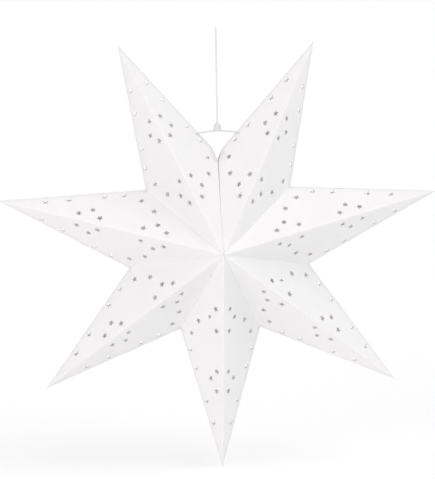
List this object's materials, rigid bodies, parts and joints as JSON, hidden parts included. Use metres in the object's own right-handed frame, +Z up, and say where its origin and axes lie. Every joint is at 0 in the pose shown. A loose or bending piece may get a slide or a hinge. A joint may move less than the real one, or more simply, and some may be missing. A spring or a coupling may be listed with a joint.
{
  "type": "paper star lantern",
  "caption": "Folded paper star lantern with hollow pointed arms, small star cut-outs, a top opening for a cable and a wire bow with a cord to hang it by.",
  "frame": {"origin": "the seat under the top of the cord's loop, where a hook holds it", "axes": "+Z up along the cord, -Y out of the front of the star, +X to the right as seen from the front"},
  "size_m": [0.5928, 0.1996, 0.6001],
  "materials": {
    "card": "matte white card",
    "wire": "white lacquered wire",
    "cap": "white plastic, satin",
    "cord": "white twisted cord"
  },
  "bodies": {
    "root": {"point_bottom": "card", "point_lower_right": "card", "point_upper_right": "card", "point_top_right": "card", "point_top_left": "card", "point_upper_left": "card", "point_lower_left": "card", "bow": "wire", "cap": "cap", "stopper_knot": "cord", "cord": "cord", "hanging_loop": "cord", "loop_binding": "cord"}
  },
  "joints": []
}
